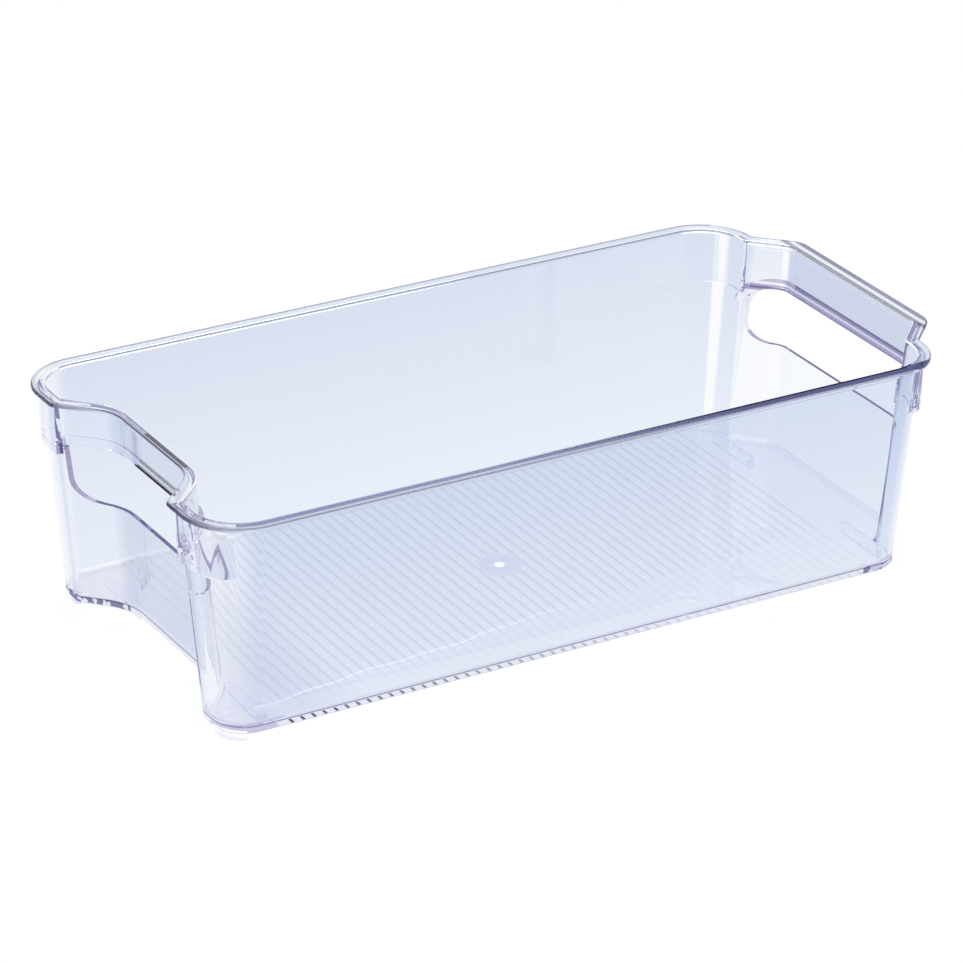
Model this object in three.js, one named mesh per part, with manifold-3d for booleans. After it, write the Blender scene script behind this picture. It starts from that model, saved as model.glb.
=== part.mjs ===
import * as THREE from 'three';
import { mergeVertices } from 'three/addons/utils/BufferGeometryUtils.js';
import Module from 'manifold-3d';

const wasm = await Module();
wasm.setup();

// A clear open bin for a fridge shelf or drawer, in millimetres, standing on z = 0 with its length along X.
// It is moulded in one shot. Its regions are separate solids that meet face to face on flat planes.

// Size over the rim, and from the surface up
const binLength = 323;
const binWidth = 161;
const binHeight = 89;

// Walls, which lean outwards as they rise
const wall = 1.8;
const sideDraft = THREE.MathUtils.degToRad(4.24);
const endDraft = THREE.MathUtils.degToRad(4.89);
const cornerRadius = 19.1;
const creaseRadius = 1;

// Floor, with ribs across its underside and the round mark where the plastic came in
const floorThickness = 3;
const floorFillet = 1.5;
const underEdgeRadius = 0.8;
const ribPitch = 4.5;
const ribGroove = 2;
const ribDepth = 0.4;
const ribbedLength = 246;
const gateRadius = 9.5;
const gateNubRadius = 1.2;
const gateNubHeight = 0.5;

// Rim, a flange that turns outwards
const rimThickness = 1.5;
const rimEdgeRadius = 0.8;
const rimFilletHeight = 2.2;
const rimFilletShare = 0.8;
const rimOverhang = 3.6;
const recessOverhang = 1.7;
const bulgeOverhang = 4.7;

// Ends: the middle of the left one is set in and that of the right one stands out, between diagonal flanks
const flankTurn = Math.PI / 4;
const recessDepth = 15.1;
const recessFromSide = 32.5;
const recessBend = 18;
const bulgeDepth = 13;
const bulgeFromSide = 24.8;
const bulgeBend = 9;

// Hand holes, with the grip strip above each and a bead that follows the strip's lower edge
const gripHeight = 18.2;
const holeHeight = 23.2;
const holeCornerRadius = 9;
const leftHoleTopRadius = 1.5;
const rightHoleTopRadius = 8;
const rightHoleFromSide = 28.5;
const beadHeight = 3.8;
const beadDepth = 1.2;

// Stacking ledges round the corners
const ledgeHeight = 20.6;
const ledgeOut = 2.4;
const ledgeTopOut = 1;
const ledgeFullShare = 0.4;
const ledgeEndShare = 0.75;
const cornerReach = 24;

// Feet: straight bars under the ends, and short curved ones at the left corners
const footHeight = 3.6;
const footWidth = 3.5;
const footLength = 28;
const leftFootInset = 1.6;
const rightFootInset = 1.2;
const leftFootFromSide = 19;
const rightFootFromSide = 21.5;
const cornerFootInset = 1.4;
const cornerFootTurn = Math.PI / 3;

// What a cut runs past the face that it opens
const overrun = 10;
const smallestRadius = 0.3;
const arcSteps = 8;
const edgeSteps = 3;

// Heights and faces that follow
const underside = footHeight;
const floorTop = underside + floorThickness;
const rimUnderside = binHeight - rimThickness;
const sideFace = binWidth / 2 - rimOverhang;
const leftFace = -binLength / 2 + rimOverhang;
const rightFace = binLength / 2 - bulgeOverhang - bulgeDepth;
const recessSpan = binWidth - 2 * recessFromSide;
const bulgeSpan = binWidth - 2 * bulgeFromSide;
const leftHoleWidth = recessSpan;
const rightHoleWidth = binWidth - 2 * rightHoleFromSide;
const holeTop = binHeight - gripHeight;
const holeBottom = holeTop - holeHeight;
const holeMiddle = (holeTop + holeBottom) / 2;
const ledgeBottom = binHeight - ledgeHeight - rimThickness;

const clearPlastic = new THREE.MeshStandardMaterial({
  color: 0xdce5f5, roughness: 0.06, metalness: 0, transparent: true, opacity: 0.45,
});

/** Points of a closed outline, counter-clockwise, whose corners [x, y, radius] are rounded by arcs. */
function roundedOutline(corners) {
  const points = [];
  corners.forEach(([x, y, radius], i) => {
    const corner = new THREE.Vector2(x, y);
    const before = new THREE.Vector2(...corners.at(i - 1)).sub(corner).normalize();
    const after = new THREE.Vector2(...corners[(i + 1) % corners.length]).sub(corner).normalize();
    const half = Math.acos(before.dot(after)) / 2;
    const centre = before.clone().add(after).normalize().multiplyScalar(radius / Math.sin(half)).add(corner);
    const start = corner.clone().addScaledVector(before, radius / Math.tan(half)).sub(centre);
    const turn = Math.sign(after.cross(before)) * (Math.PI - 2 * half);
    for (let step = 0; step <= arcSteps; step += 1) {
      const spoke = start.clone().rotateAround(new THREE.Vector2(), turn * step / arcSteps);
      points.push(spoke.add(centre));
    }
  });
  return points;
}

/** The bin's plan at height z, moved inwards from the outer face of its walls. */
function planAt(z, inset, recessInset = inset, bulgeInset = inset) {
  const drop = rimUnderside - z;
  const side = drop * Math.tan(sideDraft) + inset;
  const lean = drop * Math.tan(endDraft);
  const left = leftFace + lean + inset;
  const right = rightFace - lean - inset;
  const half = sideFace - side;
  const recess = leftFace + recessDepth + lean + recessInset;
  const bulge = rightFace + bulgeDepth - lean - bulgeInset;
  const creaseShift = (lean + inset) * Math.tan(flankTurn / 2);
  const leftCrease = recessSpan / 2 + creaseShift;
  const rightCrease = bulgeSpan / 2 - creaseShift;
  const recessEdge = leftCrease - (recess - left) / Math.tan(flankTurn);
  const bulgeEdge = rightCrease - (bulge - right) / Math.tan(flankTurn);
  const inward = Math.max(inset, 0);
  const corner = Math.max(cornerRadius - side, smallestRadius);
  const outCrease = Math.max(creaseRadius + wall - inward, smallestRadius);
  const inCrease = creaseRadius + inward;
  const outBend = Math.max(bulgeBend - Math.max(bulgeInset, 0), smallestRadius);
  const inBend = recessBend + lean + recessInset;
  return roundedOutline([
    [left, -half, corner], [right, -half, corner],
    [right, -rightCrease, inCrease], [bulge, -bulgeEdge, outBend],
    [bulge, bulgeEdge, outBend], [right, rightCrease, inCrease],
    [right, half, corner], [left, half, corner],
    [left, leftCrease, outCrease], [recess, recessEdge, inBend],
    [recess, -recessEdge, inBend], [left, -leftCrease, outCrease],
  ]);
}

/** A closed body through plans of equal point count, each given as [height, points]. */
function loft(levels) {
  const count = levels[0][1].length;
  const positions = levels.flatMap(([z, points]) => points.flatMap((point) => [point.x, point.y, z]));
  const index = [];
  for (let level = 0; level < levels.length - 1; level += 1) {
    for (let i = 0; i < count; i += 1) {
      const a = level * count + i;
      const b = level * count + (i + 1) % count;
      index.push(a, b, b + count, a, b + count, a + count);
    }
  }
  const top = (levels.length - 1) * count;
  THREE.ShapeUtils.triangulateShape(levels[0][1], []).forEach(([a, b, c]) => index.push(c, b, a));
  THREE.ShapeUtils.triangulateShape(levels.at(-1)[1], []).forEach(([a, b, c]) => {
    index.push(top + a, top + b, top + c);
  });
  const geometry = new THREE.BufferGeometry();
  geometry.setAttribute('position', new THREE.Float32BufferAttribute(positions, 3));
  geometry.setIndex(index);
  return geometry;
}

/** The solid of a closed geometry. */
function solid(geometry) {
  const bare = geometry.clone();
  bare.deleteAttribute('normal');
  bare.deleteAttribute('uv');
  const merged = mergeVertices(bare);
  const vertProperties = new Float32Array(merged.attributes.position.array);
  const triVerts = new Uint32Array(merged.index.array);
  return new wasm.Manifold(new wasm.Mesh({ numProp: 3, vertProperties, triVerts }));
}

/** A box between two corners, whose faces lie exactly at the stated places. */
function block([x0, y0, z0], [x1, y1, z1]) {
  const base = [[x0, y0], [x1, y0], [x1, y1], [x0, y1]].map((corner) => new THREE.Vector2(...corner));
  return solid(loft([[z0, base], [z1, base]]));
}

/** The share of a round edge's height and inset at each of its steps, from its foot upwards. */
function roundEdgeShares() {
  return Array.from({ length: edgeSteps + 1 }, (_, step) => {
    const angle = (step / edgeSteps) * (Math.PI / 2);
    return [1 - Math.cos(angle), 1 - Math.sin(angle)];
  });
}

/** The plan at height z, grown by a share of the rim's overhang and then moved inwards. */
function flarePlan(z, share, inset = 0) {
  return planAt(z, inset - share * rimOverhang, inset - share * recessOverhang, inset - share * bulgeOverhang);
}

/** Everything inside the outer face: the round edge under the floor, the walls and the rim's flange. */
function outerBody() {
  const footEdge = roundEdgeShares().map(([rise, inset]) => {
    const z = underside + rise * underEdgeRadius;
    return [z, planAt(z, inset * underEdgeRadius)];
  });
  const flare = roundEdgeShares().map(([rise, inset]) => {
    const z = rimUnderside - inset * rimFilletHeight;
    return [z, flarePlan(z, rise * rimFilletShare)];
  });
  const rimEdge = roundEdgeShares().reverse().map(([rise, inset]) => (
    [binHeight - rise * rimEdgeRadius, flarePlan(rimUnderside, 1, inset * rimEdgeRadius)]));
  return solid(loft([...footEdge, ...flare, [rimUnderside, flarePlan(rimUnderside, 1)], ...rimEdge]));
}

/** The space that holds the food, with its fillet along the floor. */
function innerSpace() {
  const levels = roundEdgeShares().map(([rise, inset]) => {
    const z = floorTop + rise * floorFillet;
    return [z, planAt(z, wall + inset * floorFillet)];
  });
  return solid(loft([...levels, [binHeight + overrun, planAt(binHeight + overrun, wall)]]));
}

/** The share of a ledge's depth at each point of a plan: whole beside a crease, fading round the corner. */
function ledgeShares() {
  const steps = Array.from({ length: arcSteps + 1 }, (_, step) => step / arcSteps);
  const none = steps.map(() => 0);
  const leaving = steps.map((share) => 1 - share);
  const arriving = [...leaving].reverse();
  const fading = steps.map((share) => (
    THREE.MathUtils.clamp((ledgeEndShare - share) / (ledgeEndShare - ledgeFullShare), 0, 1)));
  const growing = [...fading].reverse();
  const half = [fading, growing, leaving, none, none, arriving];
  return [...half, ...half].flat();
}

/** The plan round the ledges at height z, which runs inside the wall where there is no ledge. */
function ledgePlan(z, out) {
  const shares = ledgeShares();
  const outer = planAt(z, -out);
  return planAt(z, wall / 2).map((point, i) => point.lerp(outer[i], shares[i]));
}

/** The four ledges that stand out from the corners above the hand holes' upper edge. */
function ledges() {
  return solid(loft([
    [ledgeBottom, ledgePlan(ledgeBottom, ledgeOut)], [rimUnderside, ledgePlan(rimUnderside, ledgeTopOut)],
  ]));
}

/** The prism of a hand hole through an end wall, or of a wider stretch round it; end is -1 on the left. */
function handHole(end, width, topRadius, margin = 0) {
  const half = width / 2 + margin;
  const low = holeBottom - margin;
  const high = holeTop + margin;
  const outline = new THREE.Shape(roundedOutline([
    [-half, low, holeCornerRadius + margin], [half, low, holeCornerRadius + margin],
    [half, high, topRadius + margin], [-half, high, topRadius + margin],
  ]));
  const prism = new THREE.ExtrudeGeometry(outline, { depth: binLength / 2, bevelEnabled: false });
  prism.rotateX(Math.PI / 2).rotateZ(Math.PI / 2);
  return solid(end > 0 ? prism : prism.rotateZ(Math.PI));
}

/** The bead inside a grip strip, which follows the hand hole's upper edge. */
function bead(end, width, topRadius) {
  const low = holeTop - topRadius;
  const high = holeTop + beadHeight;
  const ring = (inset) => solid(loft([[low, planAt(low, inset)], [high, planAt(high, inset)]]));
  return ring(wall / 2)
    .subtract(ring(wall + beadDepth))
    .intersect(handHole(end, width, topRadius, beadHeight));
}

/** The whole moulding above its feet, before it is told apart into its regions. */
function moulding() {
  return outerBody()
    .add(ledges())
    .subtract(innerSpace())
    .add(bead(-1, leftHoleWidth, leftHoleTopRadius))
    .add(bead(1, rightHoleWidth, rightHoleTopRadius))
    .subtract(handHole(-1, leftHoleWidth, leftHoleTopRadius))
    .subtract(handHole(1, rightHoleWidth, rightHoleTopRadius));
}

/** The floor plate, with grooves between its ribs and a plain disc round the gate mark. */
function floorPanel(body) {
  const plate = body.intersect(block(
    [-binLength, -binWidth, 0], [binLength, binWidth, floorTop],
  ));
  const count = Math.floor(ribbedLength / ribPitch);
  const disc = new THREE.CylinderGeometry(gateRadius, gateRadius, overrun, 4 * arcSteps).rotateX(Math.PI / 2);
  const gateDisc = solid(disc.translate(0, 0, underside));
  const nub = new THREE.CylinderGeometry(gateNubRadius, gateNubRadius, 2 * gateNubHeight, 2 * arcSteps);
  let panel = plate;
  for (let i = 0; i < count; i += 1) {
    const x = (i - (count - 1) / 2) * ribPitch;
    const groove = block(
      [x - ribGroove / 2, -binWidth, underside - overrun],
      [x + ribGroove / 2, binWidth, underside + ribDepth],
    );
    panel = panel.subtract(groove.subtract(gateDisc));
  }
  return panel.add(solid(nub.rotateX(Math.PI / 2).translate(0, 0, underside)));
}

/** A straight foot with round ends, along Y, standing on z = 0 with one end at its origin. */
function footBar() {
  const radius = footWidth / 2;
  const outline = roundedOutline([
    [-radius, 0, radius], [radius, 0, radius], [radius, footLength, radius], [-radius, footLength, radius],
  ]);
  return new THREE.ExtrudeGeometry(new THREE.Shape(outline), { depth: footHeight, bevelEnabled: false });
}

/** A short curved foot that follows a corner, about the corner's own centre. */
function cornerFoot(radius) {
  const outline = new THREE.Shape();
  const middle = radius - footWidth / 2;
  const end = new THREE.Vector2(middle * Math.cos(cornerFootTurn), middle * Math.sin(cornerFootTurn));
  outline.absarc(0, 0, radius, 0, cornerFootTurn, false);
  outline.absarc(end.x, end.y, footWidth / 2, cornerFootTurn, cornerFootTurn + Math.PI, false);
  outline.absarc(0, 0, radius - footWidth, cornerFootTurn, 0, true);
  outline.absarc(middle, 0, footWidth / 2, Math.PI, 2 * Math.PI, false);
  return new THREE.ExtrudeGeometry(outline, {
    depth: footHeight, bevelEnabled: false, curveSegments: arcSteps,
  });
}

/** The geometry of a solid. */
function surface(body) {
  const { vertProperties, triVerts } = body.getMesh();
  const geometry = new THREE.BufferGeometry();
  geometry.setAttribute('position', new THREE.BufferAttribute(vertProperties, 3));
  geometry.setIndex(new THREE.BufferAttribute(triVerts, 1));
  return geometry;
}

const organizer = new THREE.Group();

function addPiece(name, geometry) {
  const mesh = new THREE.Mesh(geometry, clearPlastic);
  mesh.name = name;
  organizer.add(mesh);
  return mesh;
}

// Floor
const body = moulding();
addPiece('floor_panel', surface(floorPanel(body)));

// Walls, corner posts, end walls and grips, each the part of the moulding that lies in its own block
const aboveFloor = body.intersect(block([-binLength, -binWidth, floorTop], [binLength, binWidth, binHeight]));
const leftPost = leftFace + cornerReach;
const rightPost = rightFace - cornerReach;

function region(name, low, high) {
  addPiece(name, surface(aboveFloor.intersect(block([...low, 0], [...high, binHeight]))));
}

const longWallFrom = Math.max(leftHoleWidth, rightHoleWidth) / 2;
region('front_wall', [leftPost, -binWidth], [rightPost, -longWallFrom]);
region('back_wall', [leftPost, longWallFrom], [rightPost, binWidth]);
region('left_front_corner', [-binLength, -binWidth], [leftPost, -leftHoleWidth / 2]);
region('left_back_corner', [-binLength, leftHoleWidth / 2], [leftPost, binWidth]);
region('right_front_corner', [rightPost, -binWidth], [binLength, -rightHoleWidth / 2]);
region('right_back_corner', [rightPost, rightHoleWidth / 2], [binLength, binWidth]);

function endPieces(side, low, high, width) {
  const band = (bottom, top) => aboveFloor.intersect(block([low, -width / 2, bottom], [high, width / 2, top]));
  addPiece(`${side}_end_wall`, surface(band(0, holeMiddle)));
  addPiece(`${side}_grip`, surface(band(holeMiddle, binHeight)));
}

endPieces('left', -binLength, 0, leftHoleWidth);
endPieces('right', 0, binLength, rightHoleWidth);

// Feet, four straight ones and two that follow the left corners
const undersideLean = (rimUnderside - underside) * Math.tan(endDraft);
const sideLean = (rimUnderside - underside) * Math.tan(sideDraft);
const leftFootX = leftFace + recessDepth + undersideLean + leftFootInset + footWidth / 2;
const rightFootX = rightFace - undersideLean - rightFootInset - footWidth / 2;
const lowCornerRadius = cornerRadius - sideLean;
const cornerCentre = new THREE.Vector2(
  leftFace + undersideLean + lowCornerRadius,
  sideFace - cornerRadius,
);

for (const [label, side] of [['front', -1], ['back', 1]]) {
  for (const [end, x, fromSide] of [
    ['left', leftFootX, leftFootFromSide], ['right', rightFootX, rightFootFromSide],
  ]) {
    const far = binWidth / 2 - fromSide;
    const foot = addPiece(`${end}_${label}_foot`, footBar());
    foot.position.set(x, side > 0 ? far - footLength : -far, 0);
  }
  const curved = addPiece(`left_${label}_corner_foot`, cornerFoot(lowCornerRadius - cornerFootInset));
  curved.position.set(cornerCentre.x, side * cornerCentre.y, 0);
  curved.rotation.z = side > 0 ? Math.PI - cornerFootTurn : Math.PI;
}

export default organizer;
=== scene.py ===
import math

import bmesh
import bpy
from mathutils import Matrix, Vector


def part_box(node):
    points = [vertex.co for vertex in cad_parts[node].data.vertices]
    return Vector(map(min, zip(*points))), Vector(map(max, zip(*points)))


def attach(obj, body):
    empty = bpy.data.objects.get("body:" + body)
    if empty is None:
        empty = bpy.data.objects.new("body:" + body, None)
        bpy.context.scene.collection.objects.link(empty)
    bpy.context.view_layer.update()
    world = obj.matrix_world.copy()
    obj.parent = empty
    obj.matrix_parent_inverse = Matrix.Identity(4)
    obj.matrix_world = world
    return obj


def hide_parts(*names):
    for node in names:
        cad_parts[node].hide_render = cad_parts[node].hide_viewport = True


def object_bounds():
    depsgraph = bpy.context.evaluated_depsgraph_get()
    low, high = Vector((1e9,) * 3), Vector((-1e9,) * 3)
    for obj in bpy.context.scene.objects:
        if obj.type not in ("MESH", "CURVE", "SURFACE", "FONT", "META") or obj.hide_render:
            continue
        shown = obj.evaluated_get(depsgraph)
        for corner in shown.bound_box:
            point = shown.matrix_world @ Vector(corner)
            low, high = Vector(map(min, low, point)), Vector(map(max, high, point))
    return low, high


bl_info = {
    "name": "Clear Drawer Organizer",
    "version": (1, 0, 0),
    "blender": (4, 5, 0),
    "location": "3D View > Sidebar > Organizer",
    "description": "Models a clear moulded bin with hand holes, ledges, ribs and feet, and a white studio",
    "category": "Add Mesh",
}

MM = 0.001
PIECE_NAME = "clear_bin"

# Sizes that come from the CAD part
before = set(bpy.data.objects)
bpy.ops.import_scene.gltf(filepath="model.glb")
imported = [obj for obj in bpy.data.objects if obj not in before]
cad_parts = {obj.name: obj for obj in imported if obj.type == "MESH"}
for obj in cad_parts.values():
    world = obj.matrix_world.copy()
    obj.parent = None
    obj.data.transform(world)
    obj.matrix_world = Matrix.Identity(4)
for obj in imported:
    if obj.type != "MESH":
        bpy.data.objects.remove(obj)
CAD_LOW, CAD_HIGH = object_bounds()
CAD_SIZE = CAD_HIGH - CAD_LOW
FOOT_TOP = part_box("left_front_foot")[1].z
FLOOR_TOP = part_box("floor_panel")[1].z
LEFT_HOLE_WIDTH = 2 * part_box("left_grip")[1].y
RIGHT_HOLE_WIDTH = 2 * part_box("right_grip")[1].y
LEFT_HOLE_TOP_RADIUS = 1.5 * MM
HOLE_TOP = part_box("left_grip")[0].z + LEFT_HOLE_TOP_RADIUS


def length(name, description, default):
    """A property that holds one size, whose default is given in millimetres."""
    return bpy.props.FloatProperty(
        name=name, description=description, default=default * MM, unit="LENGTH", precision=5)


def turn(name, description, degrees):
    """A property that holds one angle."""
    return bpy.props.FloatProperty(
        name=name, description=description, default=math.radians(degrees), subtype="ANGLE")


def shade(name, description, default):
    """A property that holds one linear colour."""
    return bpy.props.FloatVectorProperty(
        name=name, description=description, default=default, subtype="COLOR", min=0, max=1)


class OrganizerSizes(bpy.types.PropertyGroup):
    """Sizes of the bin. The plan is the outer face of the walls just under the rim."""

    wall: length("Wall", "Thickness of the walls", 1.8)
    side_draft: turn("Side draft", "How far the long walls lean out", 4.24)
    end_draft: turn("End draft", "How far the end walls lean out", 4.89)
    corner_radius: length("Corner radius", "Radius of the corners under the rim", 19.1)
    crease_radius: length("Crease radius", "Radius where a flank leaves a corner", 1)
    floor_fillet: length("Floor fillet", "Radius between walls and floor inside", 1.5)
    under_edge: length("Under edge", "Radius under the outer edge of the floor", 0.8)
    rim_thickness: length("Rim thickness", "Thickness of the flange", 1.5)
    rim_fillet: length("Rim fillet", "Height of the turn from the wall into it", 2.2)
    rim_edge: length("Rim edge", "Radius of the flange's upper outer edge", 0.8)
    rim_inner_edge: length("Rim inner edge", "Radius of the rim's upper inner edge", 0.5)
    rim_overhang: length("Rim overhang", "How far the flange stands out", 3.6)
    recess_overhang: length("Recess overhang", "How far it stands out over the set-in middle", 1.7)
    bulge_overhang: length("Bulge overhang", "How far it stands out over the other middle", 4.7)
    recess_depth: length("Recess depth", "How far the middle of the left end is set in", 15.1)
    recess_span: length("Recess span", "Width of the set-in part between its creases", LEFT_HOLE_WIDTH / MM)
    recess_bend: length("Recess bend", "Radius where its flanks meet its middle", 18)
    bulge_depth: length("Bulge depth", "How far the middle of the right end stands out", 13)
    bulge_span: length("Bulge span", "Width of that part between its creases", 111.4)
    bulge_bend: length("Bulge bend", "Radius where its flanks meet its middle", 9)
    hole_height: length("Hole height", "Height of the hand holes", 23.2)
    hole_corner: length("Hole corner", "Radius of the hand holes' lower corners", 9)
    left_hole_top: length("Left hole's top corner", "Radius of its upper corners", LEFT_HOLE_TOP_RADIUS / MM)
    right_hole_top: length("Right hole's top corner", "Radius of its upper corners", 8)
    hole_edge: length("Hole edge", "Radius of the hand holes' outer edges", 0.45)
    bead_height: length("Bead height", "Height of the bead inside a grip's lower edge", 3.8)
    bead_depth: length("Bead depth", "How far that bead stands in", 1.2)
    ledge_height: length("Ledge height", "Height of a ledge below the rim", 20.6)
    ledge_out: length("Ledge", "How far a ledge stands out at its foot", 2.4)
    ledge_top_out: length("Ledge top", "How far it stands out under the rim", 1)
    ledge_edge: length("Ledge edge", "Radius of a ledge's lower edge", 0.6)
    rib_pitch: length("Rib pitch", "Distance between the ribs under the floor", 4.5)
    rib_groove: length("Rib groove", "Width of the groove between two ribs", 3.4)
    rib_depth: length("Rib depth", "Depth of the grooves", 0.05)
    groove_margin: length("Groove margin", "Distance from the long edges at which the grooves end", 12)
    # Sizes of painted shade: the ribs' darker lines and where they fade, the ribs' dark ends and the rim's
    # darker strip
    rib_line: length("Rib line", "Width of the darker line that each rib shows", 2.1)
    rib_margin: length("Rib margin", "Distance from the front edge at which the ribs fade", 9)
    tick_length: length("Tick length", "How far the ribs' ends show dark in the long edges", 5.5)
    tick_inset: length("Tick inset", "Distance from the edge at which they start", 11.9)
    tick_width: length("Tick width", "Width of those ends", 1.2)
    rim_strip: length("Rim strip", "Width of the darker strip along the rim's outer edge", 1.7)
    ribbed_length: length("Ribbed length", "Length of the floor that has ribs", 246)
    gate_radius: length("Gate mark", "Radius of the plain disc round the gate mark", 9.5)
    gate_nub: length("Gate nub", "Radius of the nub in its middle", 2)
    gate_nub_height: length("Gate nub height", "Height of that nub", 0.7)
    foot_width: length("Foot width", "Width of the feet", 3.5)
    foot_inset: length("Corner foot inset", "Distance of the curved feet from the floor's edge", 1.4)
    foot_edge: length("Foot edge", "Radius of the feet's lower edges", 0.4)


class OrganizerLooks(bpy.types.PropertyGroup):
    """Colours of the plastic, most of them painted light and shade: what a place lets through, or the light
    that leaves it.
    """

    sheet: shade("Sheet", "A long wall under the rim", (0.7, 0.76, 0.885))
    low_sheet: shade("Low sheet", "A long wall at the floor", (0.84, 0.885, 0.955))
    floor: shade("Floor", "The floor", (0.925, 0.935, 0.975))
    # Painted shade along the middle of each rib
    rib: shade("Rib", "The darker line of a rib", (0.6, 0.62, 0.7))
    gate: shade("Gate", "The disc of the gate mark", (0.76, 0.74, 0.88))
    # Painted shade that the left end casts on the floor
    left_floor_shade: shade("Left floor", "The floor by the left end", (0.8, 0.815, 0.905))
    glint: shade("Glint", "Light that the nub of the gate mark gathers", (0.9, 0.9, 0.85))
    wavy_highlight: shade("Ripple", "Light in the wavy line along the front of the floor", (0.2, 0.2, 0.18))
    # Painted light: the ends and the left posts are lighter than the long walls
    flank: shade("Flank", "The flanks of the ends", (0.96, 0.975, 0.99))
    # Painted shade in the set-in middle of the left end
    recess: shade("Recess", "The set-in middle", (0.75, 0.79, 0.88))
    # Painted shade on the right end's grip and on its rim's flat top
    grip: shade("Grip", "The grip of the other end", (0.62, 0.67, 0.82))
    # Painted light: pale upright bands round the corners and bends
    band: shade("Band", "The bands round the corners", (0.98, 0.985, 1))
    # Painted shade: the darkest, violet stretches of the rim
    violet: shade("Violet", "The darkest stretches of the rim", (0.15, 0.15, 0.28))
    # Leak colours, partly painted light and shade: light caught inside leaks out tinted by these, and the
    # floor's edge, its front corners and the ribs' ends give them off as painted glows
    edge: shade("Edge", "Leaks out of the edges of walls and rim", (0.25, 0.235, 0.42))
    pale_edge: shade("Pale edge", "Leaks out of the creases and corners", (0.93, 0.94, 0.985))
    floor_edge: shade("Floor edge", "The light that leaks out of the floor's edge", (0.86, 0.88, 0.95))
    violet_floor_edge: shade("Violet floor edge", "The same at the front corners", (0.62, 0.6, 0.8))
    # Painted shade along the rim's rounded edges, its outer strip and the floor plate's edges
    line: shade("Line", "The rounded edges of the rim", (0.22, 0.23, 0.31))
    tick: shade("Tick", "The light that leaks out of the ends of the ribs", (0.03, 0.03, 0.07))
    # Painted shade: dark spots in the floor's edge where light is bent away
    speck_shade: shade("Speck", "The dark specks in the floor's edge", (0.06, 0.05, 0.2))
    # Painted shade: the nearly black line under the left grip
    black: shade("Black line", "The lower edge of the left grip", (0.015, 0.015, 0.03))
    # Painted shade on the faces of the hand holes' edges and in the near right crease
    cut: shade("Cut", "The faces of the hand holes' edges", (0.2, 0.17, 0.34))
    shadow: shade("Shadow", "One wall, towards the surface below", (0.86, 0.89, 0.95))
    depth: shade("Depth", "What is left of light after a long way inside", (0.14, 0.2, 0.68))
    density: bpy.props.FloatProperty(name="Density", description="Strength of that loss per metre", default=7)


def sizes():
    return bpy.context.scene.organizer_sizes


def looks():
    return bpy.context.scene.organizer_looks


# Outlines


def rounded_outline(corners):
    """Points of a closed counter-clockwise outline, whose corners (x, y, radius, steps) are rounded."""
    points = []
    for index, (x, y, radius, steps) in enumerate(corners):
        corner = Vector((x, y))
        before = (Vector(corners[index - 1][:2]) - corner).normalized()
        after = (Vector(corners[(index + 1) % len(corners)][:2]) - corner).normalized()
        half = before.angle(after) / 2
        centre = corner + (before + after).normalized() * radius / math.sin(half)
        start = corner + before * radius / math.tan(half) - centre
        side = math.copysign(math.pi - 2 * half, after.x * before.y - after.y * before.x)
        for step in range(steps + 1):
            points.append(centre + Matrix.Rotation(side * step / steps, 2) @ start)
    return points


# Steps in an arc
CORNER_STEPS = 22
BEND_STEPS = 14
CREASE_STEPS = 4
EDGE_STEPS = 5
SMALL_EDGE_STEPS = 4
FILLET_STEPS = 8
LONG_EDGE_STEPS = 60
BEAD_STEPS = 12
WAVE_STEPS = 12
FOOT_STEPS = 8
FOOT_CURVE_STEPS = 12
GATE_SIDES = 96
NUB_SEGMENTS, NUB_RINGS = 32, 16

# Shares of a size, and small lengths
CREASE_SLOPE = math.tan(math.pi / 8)
RIM_FILLET_SHARE = 0.8
LEDGE_FULL_SHARE = 0.4
LEDGE_END_SHARE = 0.75
LEDGE_CORE_SHARE = 0.75
BEAD_ROOT_SHARE = 0.9
BEAD_SQUARENESS = 6
FOOT_SWEEP = -math.pi / 3
SMALLEST = 0.3 * MM
CLEAR_OF_FACE = 0.05 * MM
WELD = 0.01 * MM
SMOOTH_ANGLE = math.radians(35)


def rim_underside():
    return CAD_HIGH.z - sizes().rim_thickness


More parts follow.
